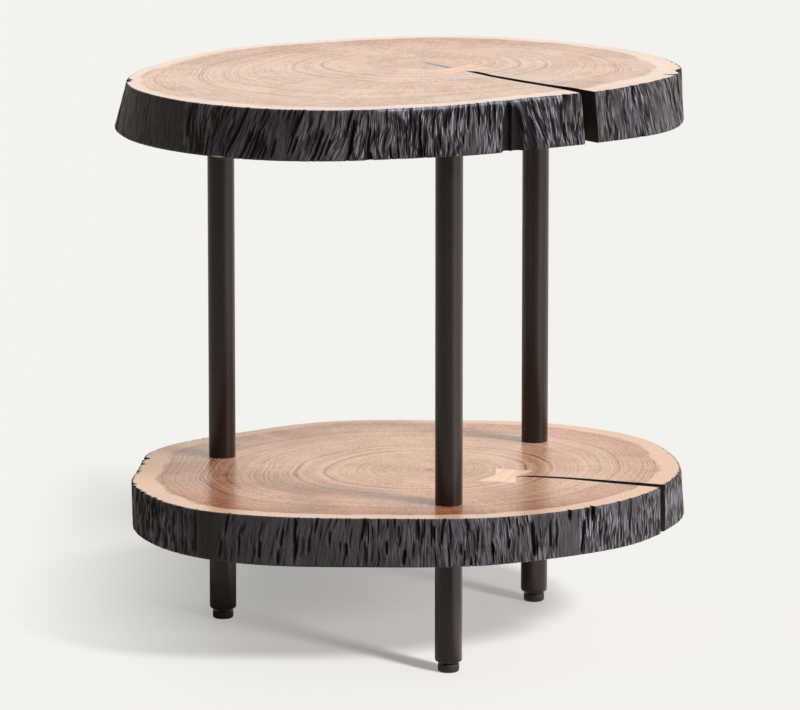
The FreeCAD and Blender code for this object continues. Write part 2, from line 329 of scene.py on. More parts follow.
# Log slices: crosscuts of a trunk, sanded and lacquered on the faces, with the natural edge left on
# and stained black. Each dried with one crack to the heart, which a bow-tie key stops.
# A slice has three finishes, in this order: its lacquered faces, its edge and the walls of its crack.
FACE, EDGE, CRACK = 0, 1, 2
UPPER_ARRIS = 1.5 * MM
LOWER_ARRIS = 2.0 * MM
UPPER_ARRIS_ROWS = np.array([0, 0.15, 0.5])
LOWER_ARRIS_ROWS = np.array([0.6, 0.3, 0.1, 0])
ARRIS_TOLERANCE = 0.05 * MM
RUB_HEIGHT = 4.5 * MM
RUB_TILT = np.radians(24)
KEY_DEPTH = 14.0 * MM
GLUE_LINE = 0.2 * MM
RIM_STEPS = 2640
SIDE_ROWS = 21
RING_SHARES = np.array([0, 0.025, 0.06, 0.12, 0.22, 0.35, 0.5, 0.66, 0.82, 0.94, 0.98, 1.0])
RIM_SMOOTHING = 4
INLAND_SMOOTHING = 20
PITH_SMOOTHING = 6
PITH_BEARINGS = 721
ROPE_CELL = (5.4 * MM, 36 * MM)
STRAND_CELL = (2.7 * MM, 22 * MM)
SLIT_SPACING = 3.4 * MM
SLIT_LENGTHS = (8 * MM, 28 * MM)
SLIT_HALF_WIDTHS = (0.6 * MM, 1.5 * MM)
SLIT_DEPTHS = (1.4 * MM, 3.4 * MM)
SLIT_BLUNTNESS = 2
GROOVE_BLUNTNESS = 4
CLEAN_DROP = (2 * MM, 8 * MM)
RING_REACH = 0.24
WAVER_CELL = 15 * MM
CRACK_EASE = 9 * MM
CRACK_FADE = 22 * MM
SAME_PLACE = 2e-7


def cross(a, b):
    """The plan cross product of two arrays of plan vectors."""
    return a[..., 0] * b[..., 1] - a[..., 1] * b[..., 0]


def reach(outline, centre, bearing):
    """How far a closed outline lies from a centre along each bearing: the outline's points are joined in
    order of bearing, and each bearing's ray is cut by every side."""
    corners = np.unique(np.round(outline, 6), axis=0) - centre
    corners = corners[np.argsort(np.arctan2(corners[:, 1], corners[:, 0]))]
    sides = np.roll(corners, -1, axis=0) - corners
    rays = np.stack([np.cos(bearing), np.sin(bearing)], -1)[:, None, :]
    slant = cross(rays, sides[None])
    slant = np.where(np.abs(slant) < 1e-12, 1e-12, slant)
    distance = cross(corners, sides)[None] / slant
    share = cross(corners[None], rays) / slant
    return np.where((share > -1e-6) & (share < 1 + 1e-6), distance, 0).max(1)


def smoothed(values, half_width):
    """A running mean along a row of values, with the ends held."""
    padded = np.pad(values, half_width, mode="edge")
    return np.convolve(padded, np.full(2 * half_width + 1, 1 / (2 * half_width + 1)), mode="valid")


def eased(values, low, high):
    """Values carried smoothly from 0 at the low end to 1 at the high end."""
    share = np.clip((values - low) / (high - low), 0, 1)
    return share * share * (3 - 2 * share)


def lifted(share, least):
    """A share from 0 to 1 that starts at a least value instead."""
    return least + (1 - least) * share


def listed(turn, pairs):
    """A value at bearings in degrees, carried evenly from one listed bearing to the next."""
    return np.interp(turn, *np.array(pairs, float).T, period=360)


def within(turn, zones):
    """1 inside zones of the rim, each from one bearing to another in degrees, and 0 outside them."""
    return 0 * turn + sum(
        eased(turn, start - 1, start + 1) * (1 - eased(turn, end - 1, end + 1)) for start, end in zones
    )


def lattice_noise(rng, across, down, cell_across, cell_down):
    """Noise from -1 to 1: random values on a lattice of cells, eased smoothly from one to the next."""
    u = (across - across.min()) / cell_across + 0 * down
    v = (down - down.min()) / cell_down + 0 * across
    i = np.floor(u).astype(int)
    j = np.floor(v).astype(int)
    lattice = rng.uniform(-1, 1, (i.max() + 2, j.max() + 2))
    ease_u = (u - i) ** 2 * (3 - 2 * (u - i))
    ease_v = (v - j) ** 2 * (3 - 2 * (v - j))
    near = lattice[i, j] * (1 - ease_u) + lattice[i + 1, j] * ease_u
    far = lattice[i, j + 1] * (1 - ease_u) + lattice[i + 1, j + 1] * ease_u
    return near * (1 - ease_v) + far * ease_v


def parted(rng, across, down, cell_across, cell_down):
    """A net of parted fibres: places are scattered one to a cell of a lattice, and each point belongs to
    its nearest. Gives how far inside it lies, from 0 on the border with the next to 1 at the place, and the
    place's random share."""
    u = (across - across.min()) / cell_across + 0 * down
    v = (down - down.min()) / cell_down + 0 * across
    i = np.floor(u).astype(int) + 1
    j = np.floor(v).astype(int) + 1
    scatter = rng.uniform(0, 1, (3, i.max() + 2, j.max() + 2))
    nearest, second, own = np.full(u.shape, 9.0), np.full(u.shape, 9.0), np.zeros(u.shape)
    for near_i in (i - 1, i, i + 1):
        for near_j in (j - 1, j, j + 1):
            place_u, place_v, share = scatter[:, near_i, near_j]
            distance = np.hypot(near_i - 1 + place_u - u, near_j - 1 + place_v - v)
            closer = distance < nearest
            second = np.where(closer, nearest, np.minimum(second, distance))
            own = np.where(closer, share, own)
            nearest = np.where(closer, distance, nearest)
    return (second - nearest) / (second + nearest), own


def slit(course, drop, place, half_width, deep, start, end, blunt):
    """A spindle-shaped slit: deepest on its line and half way down, and narrower towards its two ends."""
    tall = np.clip(1 - np.abs((2 * drop - start - end) / (end - start)) ** blunt, 0, 1)
    side = (course - place) / (half_width * np.sqrt(tall) + 1e-6)
    return deep * np.sqrt(tall) * np.clip(1 - side ** 2, 0, 1)


def natural_edge(rng, along, turn, drop, thickness, habit):
    """How far the natural edge lies inside its ridges, as slow waves and as cuts, the course of its fibres
    and how far they are split, from the way along the rim, its bearing and the drop from the upper face: a
    leaning net of coarse and fine fibres that parts in lens-shaped pits, spindle slits across it, and
    single grooves."""

    def ripple(size, way, wide, tall):
        """Noise of a size, on cells so wide and tall in millimetres."""
        return size * lattice_noise(rng, way, drop, wide * MM, tall * MM)

    lean, coarse, split = (listed(turn, habit[name]) for name in ("leans", "coarse", "split"))
    below_middle = drop - thickness / 2
    wander = ripple(1.5 * MM, along, 16, 18) + ripple(0.6 * MM, along, 6, 9)
    course = along + lean * below_middle + wander
    rough = eased(ripple(0.6, along, 45, 60) + ripple(0.5, course, 13, 26), -0.85, 0.0)
    rough = rough * (1 - within(turn, habit["smooth"]))
    rub = np.tan(RUB_TILT) * np.clip(RUB_HEIGHT - drop, 0, None) * within(turn, habit["rubbed"])
    waves = 0.45 * MM + ripple(0.45 * MM, along, 32, 70) + rub
    cuts = 0.25 * MM + ripple(0.25 * MM, course, 1.8, 15)
    nets = ((ROPE_CELL, habit["ropes"] * coarse), (STRAND_CELL, habit["strands"] * lifted(coarse, 0.1)))
    for cell, deep in nets:
        inside, own = parted(rng, course, drop, *cell)
        cuts = cuts + deep * MM * lifted(rough, 0.12) * eased(own, 0.25, 0.9) * eased(inside, 0.1, 0.65)
    slits = 0 * cuts
    for _ in range(int(along.max() / SLIT_SPACING)):
        place = rng.uniform(0, along.max())
        length = rng.uniform(*SLIT_LENGTHS)
        start = rng.uniform(-0.15, 0.95) * thickness - length / 3
        half_width = rng.uniform(*SLIT_HALF_WIDTHS)
        deep = rng.uniform(*SLIT_DEPTHS)
        one = slit(course, drop, place, half_width, deep, start, start + length, SLIT_BLUNTNESS)
        slits = np.maximum(slits, one * lifted(rough, 0.1))
    for bearing, half_width, deep, start, end, tilt in habit["grooves"]:
        place = np.interp(bearing, turn[:, 0], along[:, 0], period=360)
        line = along + tilt * below_middle + 0.6 * wander
        half_width, deep, start, end = np.array([half_width, deep, start, end]) * MM
        slits = np.maximum(slits, slit(line, drop, place, half_width, deep, start, end, GROOVE_BLUNTNESS))
    clean = within(turn, habit["clean"]) * (1 - eased(drop, *CLEAN_DROP))
    return waves, (cuts + slits) * (1 - clean), course, split * lifted(rough, 0.15)


def log_slice(node_name, key_name, habit, seed):
    """A slice worked out in plan about the centre of its key: bearings from one wall of the crack round to
    the other, and along each bearing one profile: out over the pocket's floor, up its wall, out over the
    upper face, down the edge and back under the lower face. Towards the middle every second bearing ends,
    twice. The walls of the crack close it.

    A habit is one slice's growth, in degrees of bearing round the table and, but for the pith, in
    millimetres. crack: the crack's bearing from the key and its spread. walls: how far its two walls stand
    aside, by the way out from the key. waver: how far they wave. pith: the middle of the rings. By bearing:
    sapwood, its width, coarse and split, how strongly the fibres stand apart in shape and in finish, and
    leans, their slope. Zones of bearings: bare of stain below, rubbed down above, clean at the upper face,
    and smooth. ropes, strands: the depth of coarse and fine fibres. grooves: bearing, half width, depth,
    upper and lower end, and slope."""
    rng = np.random.default_rng(seed)

    def corners_of(name):
        """The corner points of a construction solid."""
        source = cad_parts[name].data
        found = np.empty(len(source.vertices) * 3)
        source.vertices.foreach_get("co", found)
        return found.reshape(-1, 3)

    solid = corners_of(node_name)
    key = corners_of(key_name)[:, :2]
    low, high = solid[:, 2].min(), solid[:, 2].max()
    thickness = high - low
    centre = (key.min(0) + key.max(0)) / 2
    upper = solid[np.abs(solid[:, 2] - high + UPPER_ARRIS) < ARRIS_TOLERANCE][:, :2]
    lower = solid[np.abs(solid[:, 2] - low - LOWER_ARRIS) < ARRIS_TOLERANCE][:, :2]

    # Bearings evenly spaced along the rim
    crack, spread = np.radians(habit["crack"])
    first = crack + spread / 2
    trial = np.linspace(first, crack + 2 * np.pi - spread / 2, 4 * RIM_STEPS)
    rim = centre + reach(upper, centre, trial)[:, None] * np.stack([np.cos(trial), np.sin(trial)], -1)
    way = np.concatenate([[0], np.cumsum(np.hypot(*np.diff(rim, axis=0).T))])
    along = np.linspace(0, way[-1], RIM_STEPS + 1)
    bearing = np.interp(along, way, trial)
    turn = np.interp(along, way, np.unwrap(np.arctan2(rim[:, 1], rim[:, 0])))
    turn = np.degrees(turn)[:, None] % 360
    along = along[:, None]
    heading = np.stack([np.cos(bearing), np.sin(bearing)], -1)
    reach_upper = smoothed(reach(upper, centre, bearing), RIM_SMOOTHING)[:, None]
    reach_lower = smoothed(reach(lower, centre, bearing), RIM_SMOOTHING)[:, None]
    reach_key = reach(key, centre, bearing)[:, None] + GLUE_LINE

    # Drops from the upper face, with the pocket's floor among them
    drop = np.concatenate([
        UPPER_ARRIS * UPPER_ARRIS_ROWS,
        np.linspace(UPPER_ARRIS, thickness - LOWER_ARRIS, SIDE_ROWS),
        thickness - LOWER_ARRIS * LOWER_ARRIS_ROWS,
    ])
    floor_row = np.argmin(np.abs(drop - KEY_DEPTH))
    drop[floor_row] = KEY_DEPTH
    drop = drop[None, :]
    inset = UPPER_ARRIS - np.sqrt(UPPER_ARRIS ** 2 - np.clip(UPPER_ARRIS - drop, 0, None) ** 2)
    rise = np.clip(LOWER_ARRIS - (thickness - drop), 0, None)
    inset = inset + LOWER_ARRIS - np.sqrt(LOWER_ARRIS ** 2 - rise ** 2)
    down = np.clip((drop - UPPER_ARRIS) / (thickness - UPPER_ARRIS - LOWER_ARRIS), 0, 1)
    waves, cuts, course, split = natural_edge(rng, along, turn, drop, thickness, habit)
    reach_rim = reach_upper + (reach_lower - reach_upper) * down - inset - waves - cuts

    points = []

    def add(columns, distance, fall):
        """Takes in points at a distance from the key's centre on some bearings and at a drop, and gives their
        numbers."""
        plan = centre + distance[..., None] * heading[columns][:, None, :]
        points.append(np.concatenate([plan, (high - fall + 0 * distance)[..., None]], -1).reshape(-1, 3))
        count = distance.size
        return sum(len(block) for block in points) - count + np.arange(count).reshape(distance.shape)

    def skin(grid):
        """Quads over a grid of numbers, facing out where its rows follow the slice's profile."""
        return np.stack([grid[:-1, :-1], grid[:-1, 1:], grid[1:, 1:], grid[1:, :-1]], -1).reshape(-1, 4)

    def widening(coarse, fine):
        """Triangles from a line of points to one with twice as many steps."""
        a, b = coarse[:-1], coarse[1:]
        f, g, h = fine[:-1:2], fine[1::2], fine[2::2]
        return np.concatenate([np.stack([a, f, g], -1), np.stack([a, g, b], -1), np.stack([b, g, h], -1)])

    # The edge, the pocket and, facing up and down, the two faces
    full, half, quarter = (np.arange(0, RIM_STEPS + 1, step) for step in (1, 2, 4))
    edge = add(full, reach_rim, drop)
    pocket_drop = drop[:, :floor_row + 1][:, ::-1]
    wall = add(quarter, reach_key[quarter] + 0 * pocket_drop, pocket_drop)
    faces, triangles = [(skin(edge), EDGE), (skin(wall), FACE)], []
    inner_shares = RING_SHARES[None, :-2]
    for rim_row, fall, way_round in ((0, 0.0, 1), (-1, thickness, -1)):
        span = reach_rim[:, rim_row][:, None] - reach_key
        inner = add(quarter, reach_key[quarter] + span[quarter] * inner_shares, fall + 0 * inner_shares)
        middle = add(half, reach_key[half] + span[half] * RING_SHARES[-2], np.array(fall))
        faces.append((skin(inner[:, ::way_round]), FACE))
        strips = [widening(inner[:, -1], middle[:, 0]), widening(middle[:, 0], edge[:, rim_row])]
        triangles += [strip[:, ::way_round] for strip in strips]
        ring, level = (wall[:, 0], KEY_DEPTH) if way_round > 0 else (inner[:, 0], thickness)
        pole = add(np.array([0]), np.zeros((1, 1)), np.array(level))[0, 0]
        triangles.append(np.stack([0 * ring[1:] + pole, ring[:-1], ring[1:]], -1)[:, ::way_round])

    # The walls of the crack, beside the key and, as a post, under it
    levels = drop.T
    under_key = levels[floor_row:]
    for column, way_round in ((0, 1), (RIM_STEPS, -1)):
        far, near = reach_rim[column][:, None], reach_key[column]
        side = add(np.full(len(levels), column), near + (far - near) * RING_SHARES, levels)
        post = add(np.full(len(under_key), column), near * np.array([[0, 1.0]]) + 0 * under_key, under_key)
        faces += [(skin(side[::-way_round]), CRACK), (skin(post[::-way_round]), CRACK)]
    points = np.concatenate(points)
    quads = np.concatenate([grid for grid, _ in faces])
    triangles = np.concatenate(triangles)
    finishes = [np.full(len(grid), finish) for grid, finish in faces] + [np.full(len(triangles), FACE)]
    finishes = np.concatenate(finishes)

    # Values that the finishes follow: on the edge the course of the fibres, how far they are split, the
    # depth of the hollows, which also sets painted shade, and where the upper arris is rubbed down, which
    # also places a painted highlight, and the lower one bare
    rubbed = within(turn, habit["rubbed"]) * (1 - eased(drop, 0.35 * RUB_HEIGHT, 0.9 * RUB_HEIGHT))
    bared = eased(drop, thickness - 0.75 * LOWER_ARRIS, thickness - 0.4 * LOWER_ARRIS)
    bare = within(turn, habit["bare"]) * bared
    on_edge = {"course": course, "split": split, "hollow": cuts, "rim": rubbed, "bare": bare}
    off_edge = np.zeros(len(points) - edge.size)
    values = {name: np.concatenate([value.ravel(), off_edge]) for name, value in on_edge.items()}

    # And on the faces how many widths of the sapwood a point lies inland, and how far the rings are stretched
    # towards the rim
    offset = points[:, :2] - centre
    turned_to = (np.arctan2(offset[:, 1], offset[:, 0]) - first + 1e-6) % (2 * np.pi) + first
    even_rim = smoothed(reach_rim[:, 0], INLAND_SMOOTHING)
    inland = np.interp(turned_to, bearing, even_rim) - np.hypot(*offset.T)
    from_table = np.degrees(np.arctan2(points[:, 1], points[:, 0])) % 360
    values["sapwood"] = inland / MM / listed(from_table, habit["sapwood"])
    pith = np.array(habit["pith"])
    from_pith = points[:, :2] - pith
    all_round = np.linspace(-np.pi, np.pi, PITH_BEARINGS)
    pith_reach = smoothed(reach(upper, pith, all_round), PITH_SMOOTHING)
    pith_reach = np.interp(np.arctan2(from_pith[:, 1], from_pith[:, 0]), all_round, pith_reach)
    outward = np.hypot(*from_pith.T) / pith_reach
    values["ring_stretch"] = 1 + (RING_REACH / pith_reach - 1) * eased(outward, 0.05, 0.8)

    # The crack's walls: each stands to the side by its listed amount and wavers, and the wood beside it
    # follows less and less. At the key nothing moves.
    ahead = np.array([np.cos(crack), np.sin(crack)])
    out_along, across = offset @ ahead, cross(ahead[None], offset)
    beyond_key = np.hypot(*offset.T) - np.interp(turned_to, bearing, reach_key[:, 0])
    way_out, *walls = np.array(habit["walls"], float).T * MM
    for side, wall in zip((1, -1), walls):
        straight = side * np.clip(out_along, 0, None) * np.tan(spread / 2)
        waver = lattice_noise(rng, out_along[:, None], 0 * out_along[:, None], WAVER_CELL, 1.0)[:, 0]
        push = np.interp(out_along, way_out, wall) - straight + habit["waver"] * MM * waver
        push = push * eased(beyond_key, 0, CRACK_EASE) * np.exp(-np.abs(across - straight) / CRACK_FADE)
        push = np.where((across * side > 0) & (out_along > 0), push, 0)
        points[:, :2] += push[:, None] * np.array([-ahead[1], ahead[0]])

    # One skin: points that lie together become one
    together = np.round(points / SAME_PLACE).astype(np.int64)
    _, kept, merged = np.unique(together, axis=0, return_index=True, return_inverse=True)
    merged = merged.ravel()
    piece = new_mesh(node_name + "_live_edge", points[kept], merged[quads], merged[triangles])
    mesh = piece.data
    mesh.polygons.foreach_set("material_index", finishes.astype(np.int32))
    mesh.polygons.foreach_set("use_smooth", finishes == EDGE)
    for name, value in values.items():
        data = mesh.attributes.new(name, "FLOAT", "POINT").data
        data.foreach_set("value", value[kept].astype(np.float32))
    return piece


def times(tree, first, second):
    """One value times another."""
    return math_node(tree, "MULTIPLY", first, second)


def centred(tree, value):
    """A value from 0 to 1 carried to -0.5 to 0.5."""
    return math_node(tree, "SUBTRACT", value, 0.5)


def vector_node(tree, operation, *terms):
    """One step of arithmetic on vectors: it gives a number where it measures, and else a vector."""
    made = node(tree, "ShaderNodeVectorMath", dict(enumerate(terms)), operation=operation)
    return made.outputs["Value" if operation in ("LENGTH", "DISTANCE", "DOT_PRODUCT") else "Vector"]


def mixed(tree, share, first, second, blend="MIX"):
    """Two colours mixed by a share from 0 to 1."""
    inputs = {"Factor": share, 6: first, 7: second}
    return node(tree, "ShaderNodeMix", inputs, data_type="RGBA", blend_type=blend).outputs[2]


def attribute(tree, name):
    """A value that the piece carries at each of its points."""
    return node(tree, "ShaderNodeAttribute", attribute_name=name).outputs["Fac"]


# End grain under satin lacquer: growth rings round the pith, stretched to follow the rim, fine rays and
# pores, and pale sapwood that ends in an uneven line some way in from the rim. Beside that line the heartwood
# is deeper in colour, and towards one side it is darkened as painted shade.
RING_WAVES = ((9.0, 16 * MM), (38.0, 3.5 * MM), (160.0, 0.7 * MM))
LATE_RINGS = (400.0, 2.6, 0.5, 0.25)
YEARLY_RINGS = (150.0, 2.0, 0.65, 0.1)
BOLD_RINGS = (62.0, 1.6, 0.76, 0.15)
LINE_END = 0.97
SMOKE_SHARE = 0.3
PAINTED_SHADE_SHARE = 0.6
FACE_ROUGHNESS = (0.22, 0.34)
FACE_TOOTH = 0.05 * MM

end_grain, grain_in, grain_out = new_group(
    "End grain",
    {"Place": "Vector", "Pith": "Vector", "Dark side": "Vector", "Border": "Float", "Heart": "Color",
     "Late wood": "Color", "Sap": "Color", "Smoke": "Color", "Deep": "Color"},
    {"Color": "Color", "Roughness": "Float", "Height": "Float"},
)
offset = vector_node(end_grain, "SUBTRACT", grain_in["Place"], grain_in["Pith"])
flat = vector_node(end_grain, "MULTIPLY", offset, (1, 1, 0))
right, back, _ = node(end_grain, "ShaderNodeSeparateXYZ", {0: flat}).outputs
ring = times(end_grain, vector_node(end_grain, "LENGTH", flat), attribute(end_grain, "ring_stretch"))
for scale, swing in RING_WAVES:
    sway = centred(end_grain, noise(end_grain, flat, scale, 1.0))
    ring = math_node(end_grain, "MULTIPLY_ADD", sway, swing, ring)
broken = ranged(end_grain, noise(end_grain, flat, 22.0), 0.35, 0.6, 0.35, 1.0)


def ring_noise(scale, detail):
    """Noise that changes only from ring to ring, at a scale in cells per metre."""
    inputs = {"W": times(end_grain, ring, scale), "Scale": 1.0, "Detail": detail, "Roughness": 0.6}
    return node(end_grain, "ShaderNodeTexNoise", inputs, noise_dimensions="1D").outputs["Fac"]


def spokes(turns, outward):
    """Places on the face counted by the angle round the pith and the distance from it, for radial marks."""
    angle = times(end_grain, math_node(end_grain, "ARCTAN2", back, right), turns)
    return node(end_grain, "ShaderNodeCombineXYZ", {0: angle, 1: times(end_grain, ring, outward)}).outputs[0]


def ring_lines(per_metre, sway, first_dark, weakest):
    """Dark broken lines at the outer edge of rings, from how many rings there are to a metre, how uneven
    they are, where in a ring its line starts, and how strong the weakest line is."""
    uneven = times(end_grain, ring_noise(0.3 * per_metre, 1.0), sway)
    count = math_node(end_grain, "MULTIPLY_ADD", ring, per_metre, uneven)
    whole = math_node(end_grain, "FLOOR", count)
    own = node(end_grain, "ShaderNodeTexWhiteNoise", {"W": whole}, noise_dimensions="1D").outputs["Value"]
    line = ranged(end_grain, math_node(end_grain, "FRACT", count), first_dark, LINE_END)
    line = times(end_grain, line, ranged(end_grain, own, 0.0, 1.0, weakest, 1.0, False))
    return times(end_grain, line, broken)


late, yearly, bold = (ring_lines(*rings) for rings in (LATE_RINGS, YEARLY_RINGS, BOLD_RINGS))
bands = ranged(end_grain, ring_noise(42.0, 2.0), 0.32, 0.68)
fine = centred(end_grain, ring_noise(150.0, 4.0))
rays = centred(end_grain, noise(end_grain, spokes(60.0, 16.0), 1.0, 3.0, 0.65))
smoke = ranged(end_grain, noise(end_grain, spokes(1.7, 60.0), 1.0, 3.0, 0.6), 0.54, 0.8)
cloud = noise(end_grain, grain_in["Place"], 15.0, 3.0, 0.6)
clouds = ranged(end_grain, cloud, 0.35, 0.7)
speckle = noise(end_grain, grain_in["Place"], 380.0, 4.0, 0.75)
grit = centred(end_grain, speckle)
tone = weighed(
    end_grain, (bands, 0.12), (late, 1.2), (yearly, 0.2), (bold, 0.06), (fine, 1.2), (clouds, 0.22),
    (rays, 1.0), (grit, 3.2),
)
heart = mixed(end_grain, tone, grain_in["Heart"], grain_in["Late wood"])
heart = mixed(end_grain, times(end_grain, smoke, SMOKE_SHARE), heart, grain_in["Smoke"])
ragged = centred(end_grain, noise(end_grain, grain_in["Place"], 24.0, 4.0, 0.6))
inland = math_node(end_grain, "MULTIPLY_ADD", ragged, 0.9, attribute(end_grain, "sapwood"))
in_sap = ranged(end_grain, inland, 0.9, 1.08, 1.0, 0.0)
border = times(
    end_grain, ranged(end_grain, inland, 1.0, 1.15), ranged(end_grain, inland, 1.2, 5.0, 1.0, 0.0)
)
# Painted shade: the heartwood darkens towards one side, by how far a point lies that way from the pith.
shade_side = vector_node(end_grain, "DOT_PRODUCT", flat, grain_in["Dark side"])
shade_side = ranged(end_grain, shade_side, 0.0, 1.0, 0.0, PAINTED_SHADE_SHARE)
# Deeper heartwood beside the sapwood and painted shade towards one side, both mixed towards the deep colour.
deep = math_node(end_grain, "MULTIPLY_ADD", border, grain_in["Border"], shade_side)
heart = mixed(end_grain, deep, heart, grain_in["Deep"])
lines = ranged(end_grain, tone, 0.0, 0.65, 0.74, 0.18)
heart = mixed(end_grain, deep, heart, lines, "OVERLAY")
sap_tone = weighed(end_grain, (clouds, 0.35), (late, 0.8), (fine, 1.2), (rays, 0.8), (grit, 1.6))
sap = mixed(end_grain, sap_tone, grain_in["Sap"], grain_in["Heart"])
dull = weighed(end_grain, (speckle, 0.4), (cloud, 0.6))
end_grain.links.new(mixed(end_grain, in_sap, heart, sap), grain_out["Color"])
end_grain.links.new(ranged(end_grain, dull, 0.3, 0.7, *FACE_ROUGHNESS), grain_out["Roughness"])
end_grain.links.new(math_node(end_grain, "MULTIPLY_ADD", late, 0.5, speckle), grain_out["Height"])

# Small drying checks and mineral lines in the faces: a wavering line between two points that tapers to its
# inner end.
CHECK_WAVER = (3 * MM, 3 * MM, 0)
check_line, check_in, check_out = new_group(
    "Check line", {"Place": "Vector", "Start": "Vector", "End": "Vector", "Width": "Float"}, {"Mask": "Float"}
)
waver = node(check_line, "ShaderNodeTexNoise", {"Vector": check_in["Place"], "Scale": 150.0, "Detail": 2.0})
waver = vector_node(check_line, "SUBTRACT", waver.outputs["Color"], (0.5, 0.5, 0.5))
wavered = vector_node(check_line, "MULTIPLY_ADD", waver, CHECK_WAVER, check_in["Place"])
on_face = vector_node(check_line, "MULTIPLY", wavered, (1, 1, 0))
run = vector_node(check_line, "SUBTRACT", check_in["End"], check_in["Start"])
here = vector_node(check_line, "SUBTRACT", on_face, check_in["Start"])
ahead = vector_node(check_line, "DOT_PRODUCT", here, run)
share = math_node(check_line, "DIVIDE", ahead, vector_node(check_line, "DOT_PRODUCT", run, run))
aside = vector_node(check_line, "DISTANCE", here, vector_node(check_line, "MULTIPLY", run, share))
half = times(check_line, check_in["Width"], ranged(check_line, share, 0.0, 1.0, 0.5, 0.1, False))
inside = ranged(check_line, math_node(check_line, "DIVIDE", aside, half), 0.6, 1.2, 1.0, 0.0)
ends = times(
    check_line, ranged(check_line, share, -0.02, 0.02), ranged(check_line, share, 0.9, 1.0, 1.0, 0.0)
)
check_line.links.new(times(check_line, inside, ends), check_out["Mask"])


def lacquered_face(name, checks, **wood):
    """End grain with its own pith, way to its side of painted shade, share of deeper border and colours, and
    check lines, each a start, an end and a width in millimetres, and a colour."""
    material, tree, shader, place = new_material(name)
    face = place_group(tree, end_grain, Place=place, **wood)
    colour = face["Color"]
    for start, end, width, check_colour in checks:
        ends = {"Start": (start[0] * MM, start[1] * MM, 0), "End": (end[0] * MM, end[1] * MM, 0)}
        line = place_group(tree, check_line, Place=place, Width=width * MM, **ends)
        colour = mixed(tree, line["Mask"], colour, check_colour)
    tree.links.new(colour, shader.inputs["Base Color"])
    tree.links.new(face["Roughness"], shader.inputs["Roughness"])
    tree.links.new(bump(tree, face["Height"], FACE_TOOTH), shader.inputs["Normal"])
    return material


# Black stain on the natural edge: brown-black and dull in the hollows, and darker with their depth down to
# near black in the deepest pits, partly the stain and partly painted shade. Lighter and with a sheen on the
# rubbed ridges, whose tops are paler and cooler, partly worn and partly painted highlight. A net of fine
# upright fibres, glossier still where the upper arris was rubbed down, which carries a cool painted
# highlight, and bare in a few places below.
FIBRE_NET = (290.0, 25.0, 0.14)
THREAD_NET = (680.0, 48.0, 0.2)
FUZZ_CELLS = (800.0, 110.0)
PARTING_DEPTH = 2.4 * MM
RELIEF_HEIGHT = 2.2 * MM
PIT_BLACK = (0.004, 0.003, 0.0025, 1)
HOLLOW_BLACK = (0.015, 0.0108, 0.009, 1)
SMOOTH_BLACK = (0.029, 0.0216, 0.0198, 1)
SPLIT_BLACK = (0.053, 0.0415, 0.0405, 1)
CREST_WEAR_AND_HIGHLIGHT = (0.205, 0.192, 0.222, 1)
PAINTED_RIM_HIGHLIGHT = (0.22, 0.225, 0.28, 1)
BARE_WOOD = (0.74, 0.56, 0.41, 1)

black_edge, tree, shader, place = new_material(
    "Black-stained natural edge", **{"Specular IOR Level": 0.2, "Coat Roughness": 0.35}
)
height_up = node(tree, "ShaderNodeSeparateXYZ", {0: place}).outputs[2]


def fibre_place(per_metre_across, per_metre_up):
    """Places on the edge counted across its fibres and up it, at cells per metre."""
    across = times(tree, attribute(tree, "course"), per_metre_across)
    return node(tree, "ShaderNodeCombineXYZ", {0: across, 1: times(tree, height_up, per_metre_up)}).outputs[0]


def parting_net(per_metre_across, per_metre_up, width):
    """Thin partings between fibres, from the cells to a metre across the fibres and up, and a width as a
    share of a cell: 1 on the border of two fibres, falling to 0 at that width inside them."""
    inputs = {"Vector": fibre_place(per_metre_across, per_metre_up), "Scale": 1.0}
    net = node(tree, "ShaderNodeTexVoronoi", inputs, feature="DISTANCE_TO_EDGE", voronoi_dimensions="2D")
    return ranged(tree, net.outputs["Distance"], 0.0, width, 1.0, 0.0)


split = attribute(tree, "split")
rim = attribute(tree, "rim")
patches = noise(tree, place, 45.0, 3.0, 0.6)
fuzz = noise(tree, fibre_place(*FUZZ_CELLS), 1.0, 3.0, 0.65)
nets = weighed(tree, (parting_net(*THREAD_NET), 0.4), (parting_net(*FIBRE_NET), 0.6))
parting = weighed(tree, (fuzz, 0.42), (nets, split))
parting = times(tree, parting, ranged(tree, rim, 0.0, 1.0, 1.0, 0.35))
depth = math_node(tree, "MULTIPLY_ADD", parting, PARTING_DEPTH, attribute(tree, "hollow"))
# From here the colour darkens with depth, to near black in the deepest pits: partly the stain and partly
# painted shade.
hollow = mixed(tree, ranged(tree, depth, 4 * MM, 7 * MM), HOLLOW_BLACK, PIT_BLACK)
ridge = mixed(tree, ranged(tree, split, 0.15, 0.9), SMOOTH_BLACK, SPLIT_BLACK)
stain = mixed(tree, ranged(tree, depth, 1.2 * MM, 3.6 * MM, 1.0, 0.0), hollow, ridge)
# Crests: paler, cooler ridge tops, partly worn stain and partly painted highlight.
crest = times(tree, ranged(tree, depth, 0.5 * MM, 1.7 * MM, 1.0, 0.0), split)
crest = times(tree, crest, ranged(tree, patches, 0.3, 0.7, 0.5, 1.0))
stain = mixed(tree, crest, stain, CREST_WEAR_AND_HIGHLIGHT)
